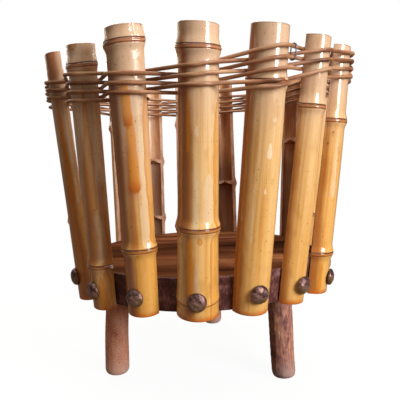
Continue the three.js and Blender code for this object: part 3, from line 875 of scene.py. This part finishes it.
class Nodes:
    """A node tree, and short ways to add nodes to it."""

    def __init__(self, tree):
        self.nodes, self.links = tree.nodes, tree.links

    def new(self, kind, **settings):
        node = self.nodes.new("ShaderNode" + kind)
        for key, value in settings.items():
            setattr(node, key, value)
        return node

    def put(self, socket, value):
        if isinstance(value, bpy.types.NodeSocket):
            self.links.new(value, socket)
        else:
            socket.default_value = value

    def put_all(self, node, values):
        """Values for the first inputs of a node, in their order."""
        for socket, value in zip(node.inputs, values):
            self.put(socket, value)

    def math(self, operation, a, b=0.0):
        node = self.new("Math", operation=operation)
        self.put_all(node, (a, b))
        return node.outputs[0]

    def add(self, *terms):
        """The sum of values. A pair is a value and its weight."""
        parts = [self.times(*term) if isinstance(term, tuple) else term for term in terms]
        return functools.reduce(lambda total, part: self.math("ADD", total, part), parts)

    def times(self, a, b):
        return self.math("MULTIPLY", a, b)

    def attribute(self, name):
        return self.new("Attribute", attribute_name=name).outputs["Fac"]

    def space(self):
        return self.new("TexCoord").outputs["Object"]

    def noise(self, scale, detail=2.0, roughness=0.5, distortion=0.0):
        """Noise on the surface where the scale has two numbers, and in space where it has three."""
        place = self.space() if len(scale) == 3 else self.new("UVMap", uv_map="Surface").outputs["UV"]
        stretch = self.new("VectorMath", operation="MULTIPLY")
        self.put_all(stretch, (place, (*scale, 1.0)[:3]))
        node = self.new("TexNoise")
        self.put(node.inputs["Vector"], stretch.outputs[0])
        settings = {"Scale": 1.0, "Detail": detail, "Roughness": roughness, "Distortion": distortion}
        for key, value in settings.items():
            node.inputs[key].default_value = value
        return node.outputs["Fac"]

    def step(self, value, low_edge, high_edge):
        """From 0 at the first edge to 1 at the second."""
        node = self.new("MapRange", interpolation_type="SMOOTHSTEP")
        flip = low_edge > high_edge
        edges = (min(low_edge, high_edge), max(low_edge, high_edge))
        self.put_all(node, (value, *edges, float(flip), float(not flip)))
        return node.outputs[0]

    def line(self, gap, place, core, fade):
        """1 on a line at a place, and 0 beyond its faded edge."""
        away = self.math("ABSOLUTE", self.math("SUBTRACT", gap, place))
        return self.step(away, fade, core)

    def ramp(self, value, stops):
        node = self.new("ValToRGB")
        self.put(node.inputs["Fac"], value)
        elements = node.color_ramp.elements
        while len(elements) < len(stops):
            elements.new(0.5)
        for element, (position, code) in zip(elements, stops):
            element.position = position
            element.color = tint(code)
        return node.outputs["Color"]

    def mix(self, share, a, b):
        node = self.new("Mix", data_type="RGBA")
        self.put(node.inputs["Factor"], share)
        for socket, value in ((node.inputs[6], a), (node.inputs[7], b)):
            self.put(socket, tint(value) if isinstance(value, str) else value)
        return node.outputs[2]

    def cover(self, colour, *layers):
        """A colour under others, each with where it lies and how much it hides there."""
        for over, share, most in layers:
            colour = self.mix(self.times(share, most), colour, over)
        return colour


class Shader(Nodes):
    """A material with a Principled shader."""

    def __init__(self, name, **settings):
        self.material = bpy.data.materials.new(name)
        self.material.use_nodes = True
        super().__init__(self.material.node_tree)
        self.surface = self.nodes["Principled BSDF"]
        for key, value in settings.items():
            self.surface.inputs[key.replace("_", " ").title().replace("Ior", "IOR")].default_value = value

    def bump(self, height, strength, distance, socket="Normal"):
        node = self.new("Bump")
        node.inputs["Strength"].default_value = strength
        node.inputs["Distance"].default_value = distance * MM
        self.put(node.inputs["Height"], height)
        self.put(self.surface.inputs[socket], node.outputs["Normal"])

    def finish(self, colour, roughness=None):
        self.put(self.surface.inputs["Base Color"], colour)
        if roughness is not None:
            self.put(self.surface.inputs["Roughness"], roughness)
        return self.material


def skin_ground(s, fibre):
    """Straw to amber bands, with a painted reflection making them paler towards the head, and
    honey-coloured towards the foot.
    """
    band = s.noise((0.17, 0.004), 2.0, 0.55, 0.3)
    streak = s.noise((0.5, 0.01))
    tone = s.add((band, 0.9), (streak, 0.6), (fibre, 0.2), s.attribute("tone"), -0.51)
    straw = [(0.1, "ecd6ac"), (0.3, "e6c592"), (0.45, "deb274"), (0.62, "c8883e"), (0.85, "964e16")]
    # Painted reflection: a pale pinkish veil over the skin towards the head, reaching further down on the
    # worn heads.
    painted_sheen_gap = s.add(s.attribute("head_gap"), (s.attribute("worn"), -WORN_AND_SHEEN_REACH))
    honey = s.add(s.attribute("foot_gap"), (band, 90.0), (s.attribute("tone"), -300.0))
    return s.cover(
        s.ramp(tone, straw),
        ("d6bcaa", s.step(painted_sheen_gap, 95, 20), 0.8),
        ("ebb355", s.step(honey, 190.0, 40.0), 0.58),
    )


def varnish_marks(s, colour):
    """Bare patches, stains that are partly painted shade on the left sides of the front culms, thin
    glazes with a darker rim, and runs that pool at their lower ends.
    """
    wobble = s.times(s.add(s.noise((0.35, 0.09)), -0.5), 1.6)

    def inside(kind, low_edge=-0.2, high_edge=0.25):
        return s.step(s.add(s.attribute(kind), wobble), low_edge, high_edge)

    glaze = inside("glaze")
    rim = s.times(glaze, s.step(s.attribute("glaze"), 3.6, 0.0))
    return s.cover(
        colour,
        ("e6cfae", inside("bare"), 0.75),
        # Brown stain, partly painted shade on the left sides of the front culms.
        ("a4540e", inside("stain", -3.0, 3.6), 0.76),
        ("e0a03c", glaze, 0.42),
        ("ba6a0c", rim, 0.45),
        ("da8c12", inside("coat"), 0.74),
        ("b85406", s.attribute("pool"), 0.9),
    )


def joint_marks(s, mottle, colour):
    """Varnish gathered at the foot, a dull rim at the head, dark lines at the joints, and buds."""
    gathered = s.add(s.attribute("foot_gap"), (mottle, 5.0))
    gap = s.attribute("node_gap")
    broken = s.add(0.4, (s.step(mottle, 0.35, 0.55), 0.45))
    return s.cover(
        colour,
        ("cd6c10", s.step(gathered, 8.4, 3.0), 0.9),
        ("7c584c", s.step(s.attribute("head_gap"), 1.3, 0.4), 0.6),
        ("aa6028", s.line(gap, 0.0, 1.2, 2.0), 0.72),
        ("561f12", s.line(gap, LINE_UPPER, 0.3, 0.9), 0.9),
        ("6e3820", s.line(gap, LINE_LOWER, 0.15, 0.7), broken),
        ("98501a", s.line(s.attribute("scar_gap"), 0.0, 0.3, 0.9), 0.8),
        ("3a2014", s.step(s.attribute("bud"), 0.3, 0.8), 0.85),
    )


def bamboo_skin():
    """Varnished skin with its marks, fibres, specks and scratches, rippled where a head is worn."""
    s = Shader("bamboo_skin", coat_weight=1.0, coat_roughness=0.07, coat_ior=1.55, specular_ior_level=0.2)
    s.surface.inputs["Coat Tint"].default_value = tint("fff8ec")
    fibre = s.noise((2.4, 0.03))
    mottle = s.noise((0.15, 0.06), 3.0)
    speck = s.step(s.noise((0.9, 0.42), 1.0), 0.7, 0.76)
    scratch = s.step(s.noise((0.55, 1.7), 1.0), 0.735, 0.78)
    colour = joint_marks(s, mottle, varnish_marks(s, skin_ground(s, fibre)))
    colour = s.cover(
        colour,
        ("f2e4cc", s.step(s.attribute("chip"), -0.2, 0.3), 0.8),
        ("b9803c", s.step(mottle, 0.52, 0.72), 0.3),
        ("5a3216", speck, 0.75),
        ("7a4a20", scratch, 0.45),
    )
    s.bump(s.add((fibre, 0.6), (speck, -0.5)), 0.25, 0.12)
    worn = s.times(s.attribute("worn"), s.step(s.attribute("head_gap"), WORN_AND_SHEEN_REACH, 20))
    ripples = s.times(s.noise((0.45, 0.22)), s.times(worn, 12.0))
    s.bump(s.add(s.noise((0.2, 0.05)), ripples), 0.2, 0.4, "Coat Normal")
    return s.finish(colour, s.add(0.25, (mottle, 0.2)))


def bamboo_inside():
    """Bare reddish brown inside of a culm, with fibres and old varnish, and painted shade darkening the
    hollow towards the foot.
    """
    s = Shader("bamboo_inside", coat_weight=0.6, coat_roughness=0.2)
    fibre = s.noise((1.3, 0.03), 3.0)
    blotch = s.noise((0.12, 0.02), 3.0)
    tone = s.add((fibre, 0.5), (blotch, 0.7), (s.attribute("tone"), -1.4), -0.1)
    colour = s.ramp(tone, [(0.2, "783c1a"), (0.45, "b67442"), (0.62, "d0986a"), (0.85, "e4c0a0")])
    # Painted shade: the hollow darkens towards the foot.
    colour = s.cover(colour, ("5e2a0e", s.step(s.attribute("foot_gap"), 140, 105), 0.66))
    s.bump(fibre, 0.4, 0.2)
    return s.finish(colour, s.add(0.42, (blotch, 0.2)))


def bamboo_cut():
    """Sawn faces: pinkish tan, dotted with the dark ends of fibres."""
    s = Shader("bamboo_cut")
    dots = s.noise((1400, 1400, 1400), 1.0)
    cloud = s.noise((160, 160, 60), 3.0)
    colour = s.ramp(cloud, [(0.3, "b07c5c"), (0.5, "d0a284"), (0.7, "e2c0a6")])
    colour = s.cover(colour, ("7a4a2e", s.step(dots, 0.52, 0.66), 0.5))
    s.bump(dots, 0.4, 0.15)
    return s.finish(colour, 0.6)


def aged_bronze():
    """Patinated bronze, violet-brown over the top of each head and brassy and olive towards its lower
    edge; this change with height is a painted reflection.
    """
    s = Shader("aged_bronze", metallic=0.6)
    patch = s.noise((300, 300, 300), 3.0, 0.6)
    grain = s.noise((1800, 1800, 1800))
    rubbed = s.step(s.noise((230, 230, 230), 3.0, 0.6), 0.58, 0.66)
    # Painted reflection: violet-brown high on the head and olive low down, mottled by the patches.
    lower = s.add((s.attribute("lift"), -0.045), (patch, 1.4), (grain, 0.15), -0.33)
    patina_and_reflection = [(0.15, "4a3432"), (0.35, "7c5a54"), (0.5, "9c7c74")]
    patina_and_reflection += [(0.62, "7a5c3a"), (0.78, "7c6a30"), (0.95, "ac9048")]
    colour = s.cover(s.ramp(lower, patina_and_reflection), ("b4a48c", rubbed, 0.35))
    s.bump(s.add(patch, (grain, 0.8)), 0.35, 0.25)
    return s.finish(colour, s.add(0.26, (patch, 0.25)))


def board_top():
    """Dark stained board, its straight grain across from left to right."""
    s = Shader("board_top", specular_ior_level=0.0)
    grain = s.noise((6, 80, 60), 3.0, 0.6, 0.5)
    fine = s.noise((30, 700, 200))
    broad = s.noise((3, 34, 15))
    tone = s.add((grain, 0.35), (fine, 0.08), (broad, 1.1), -0.28)
    colour = s.ramp(tone, [(0.25, "24130c"), (0.42, "4a2a1a"), (0.56, "70422a"), (0.75, "9c6844")])
    s.bump(s.add(grain, (fine, 0.3)), 0.6, 0.8)
    return s.finish(colour, s.add(0.42, (grain, 0.3)))


def board_rim():
    """Sawn rim of the board, dark violet brown, with fine upright saw lines."""
    s = Shader("board_rim", specular_ior_level=0.25)
    lines = s.noise((1.1, 0.22), 3.0, 0.65)
    cloud = s.noise((0.09, 0.09))
    tone = s.add((lines, 0.6), (cloud, 0.5), -0.05)
    colour = s.ramp(tone, [(0.3, "2c1614"), (0.5, "56302c"), (0.72, "a07672")])
    s.bump(lines, 0.5, 0.3)
    return s.finish(colour, 0.42)


def peeled_stick():
    """A reddish stick: smooth where it is peeled, dark with orange flecks where bark is left."""
    s = Shader("peeled_stick")
    bark = s.attribute("kind")
    fleck = s.noise((0.36, 0.1), 5.0, 0.75, 0.15)
    fibre = s.noise((1.5, 0.06), 3.0)
    blotch = s.noise((0.06, 0.03))
    dust = s.noise((0.9, 0.7), 4.0, 0.7)
    tone = s.add((blotch, 0.7), (fibre, 0.15), (fleck, 0.4), dust, -0.65)
    smooth = s.ramp(tone, [(0.25, "8c4632"), (0.42, "de906e"), (0.58, "ecae92"), (0.8, "f6d8ca")])
    worn = s.add((fleck, 1.2), (fibre, 0.2), (blotch, 0.5), -0.45)
    shades = [(0.3, "54302c"), (0.42, "8a584e"), (0.52, "a8766a"), (0.62, "c4865a"), (0.8, "d2bab2")]
    colour = s.mix(bark, smooth, s.ramp(worn, shades))
    end = s.step(s.add(s.attribute("height"), (fleck, 20.0)), 34.0, 6.0)
    colour = s.cover(colour, (s.mix(bark, "ecccba", "c4aca8"), end, 0.6))
    pits = s.times(s.times(fleck, bark), 1.2)
    s.bump(s.add(pits, (fibre, 0.4), (dust, 0.5)), 0.7, 0.7)
    return s.finish(colour, s.add(0.5, (fleck, 0.25)))


def rattan():
    """Half-gloss rattan core, brown with paler and darker stretches."""
    s = Shader("rattan", specular_ior_level=0.35)
    stretch = s.noise((0.08, 0.02), 3.0)
    fibre = s.noise((2.6, 0.05))
    tone = s.add((stretch, 1.4), (fibre, 0.4), -0.45)
    core = [(0.2, "643c24"), (0.4, "966444"), (0.54, "b58866"), (0.7, "c49a74"), (0.88, "d2b294")]
    s.bump(fibre, 0.35, 0.12)
    return s.finish(s.ramp(tone, core), s.add(0.32, (stretch, 0.2)))


def steel_wire():
    s = Shader("steel_wire", metallic=0.9)
    tarnish = s.noise((0.6, 0.3), 3.0)
    colour = s.ramp(tarnish, [(0.3, "3c4658"), (0.6, "66758c"), (0.8, "94a0b0")])
    s.bump(tarnish, 0.2, 0.1)
    return s.finish(colour, s.add(0.25, (tarnish, 0.25)))


# The studio, in metres

MIRRORED_WHITE = 0.05
FLOOR_GLOW = 0.95
FLOOR_FADE = (0.3, 0.9)
FLOOR_HALF = 4.0
FILL = 0.15
LAMP_AIM = Vector((0, 0, 0.2))


def seen_share(tree):
    """1 for rays from the camera or through glass, less for reflections, and 0 for other light."""
    rays = tree.new("LightPath").outputs
    share = tree.times(rays["Is Glossy Ray"], MIRRORED_WHITE)
    for name in ("Is Camera Ray", "Is Transmission Ray"):
        share = tree.math("MAXIMUM", share, rays[name])
    return share


def white_world():
    """White to the camera, and a dim warm fill for other light."""
    world = bpy.data.worlds.new("studio")
    bpy.context.scene.world = world
    world.use_nodes = True
    tree = Nodes(world.node_tree)
    fill = tree.nodes["Background"]
    tree.put_all(fill, (tint("ffe0c0"), FILL))
    white = tree.new("Background")
    white.inputs["Color"].default_value = (1, 1, 1, 1)
    mix = tree.new("MixShader")
    tree.put_all(mix, (seen_share(tree), fill.outputs[0], white.outputs[0]))
    tree.put(tree.nodes["World Output"].inputs["Surface"], mix.outputs[0])


def pale_floor():
    """White to the camera, with the pot's shadow on it, and a dull bounce for other light."""
    s = Shader("pale_floor", roughness=0.9, specular_ior_level=0.0)
    share = seen_share(s)
    paper = s.finish(s.mix(share, "6a5646", "ffffff"))
    away = s.new("VectorMath", operation="LENGTH")
    s.put(away.inputs[0], s.space())
    far = s.step(away.outputs["Value"], *FLOOR_FADE)
    glow = s.times(share, s.add(FLOOR_GLOW, (far, 1 - FLOOR_GLOW)))
    mix = s.new("MixShader")
    s.put_all(mix, (glow, s.surface.outputs[0], s.new("Emission").outputs[0]))
    s.put(s.nodes["Material Output"].inputs["Surface"], mix.outputs[0])

    mesh = bpy.data.meshes.new("floor")
    corners = [(x * FLOOR_HALF, y * FLOOR_HALF, 0) for x, y in ((-1, -1), (1, -1), (1, 1), (-1, 1))]
    mesh.from_pydata(corners, [], [(0, 1, 2, 3)])
    mesh.materials.append(paper)
    add_object("floor", mesh)


def soft_box(name, azimuth, distance, height, size, power, colour):
    """A rectangular lamp, so far to the right of the front, that faces the pot."""
    lamp = bpy.data.lights.new(name, "AREA")
    lamp.shape = "RECTANGLE"
    lamp.size, lamp.size_y = size
    lamp.energy = power
    lamp.color = tint(colour)[:3]
    place = add_object(name, lamp)
    place.location = outward(azimuth) * distance + UP * height
    aim = LAMP_AIM - place.location
    place.rotation_euler = aim.to_track_quat("-Z", "Y").to_euler()


def studio():
    bpy.context.scene.view_settings.view_transform = "Standard"
    white_world()
    pale_floor()
    soft_box("window", 47, 1.25, 0.62, (0.36, 0.8), 20.5, "faf9f8")
    soft_box("ceiling", 30, 0.25, 1.7, (1.6, 1.6), 20.0, "fffdfa")
    soft_box("back_wall", 186, 1.3, 0.8, (1.0, 0.8), 15.0, "fff6ea")
    soft_box("left_wall", 228, 1.3, 0.9, (0.8, 0.8), 4.0, "fff6ea")


# The camera as fitted to the photo: its place is from the disc's axis
CAMERA_PLACE = Vector((1.5, -466.2, 205.7))
CAMERA_PITCH = math.radians(5.2)
CAMERA_ROLL = math.radians(-1.95)
FOCAL_PIXELS = 453.2
PHOTO_PIXELS = 400
SENSOR_WIDTH = 36


def camera():
    view = bpy.data.cameras.new("camera")
    view.sensor_width = SENSOR_WIDTH
    view.lens = FOCAL_PIXELS / PHOTO_PIXELS * SENSOR_WIDTH
    view.clip_start = 0.01
    eye = add_object("camera", view)
    forward = Vector((0, math.cos(CAMERA_PITCH), -math.sin(CAMERA_PITCH)))
    right = Vector((1, 0, 0))
    up = right.cross(forward)
    rolled_right = right * math.cos(CAMERA_ROLL) + up * math.sin(CAMERA_ROLL)
    rolled_up = rolled_right.cross(forward)
    matrix = Matrix((rolled_right, rolled_up, -forward)).transposed().to_4x4()
    matrix.translation = (CAMERA_PLACE + AXIS) * MM
    eye.matrix_world = matrix
    bpy.context.scene.camera = eye


camera()
studio()
culm_looks = [bamboo_skin(), bamboo_inside(), bamboo_cut()]
nail_look = aged_bronze()
for count, one in enumerate(CULMS, 1):
    stave(count, one, culm_looks)
    nail(count, one, nail_look)
disc(board_top(), board_rim())
stick_look = peeled_stick()
for one in LEGS:
    leg(one, stick_look)
rattan_look = rattan()
for count, one in enumerate(STRANDS):
    strand_piece(count, one, rattan_look)
wire_piece(steel_wire())
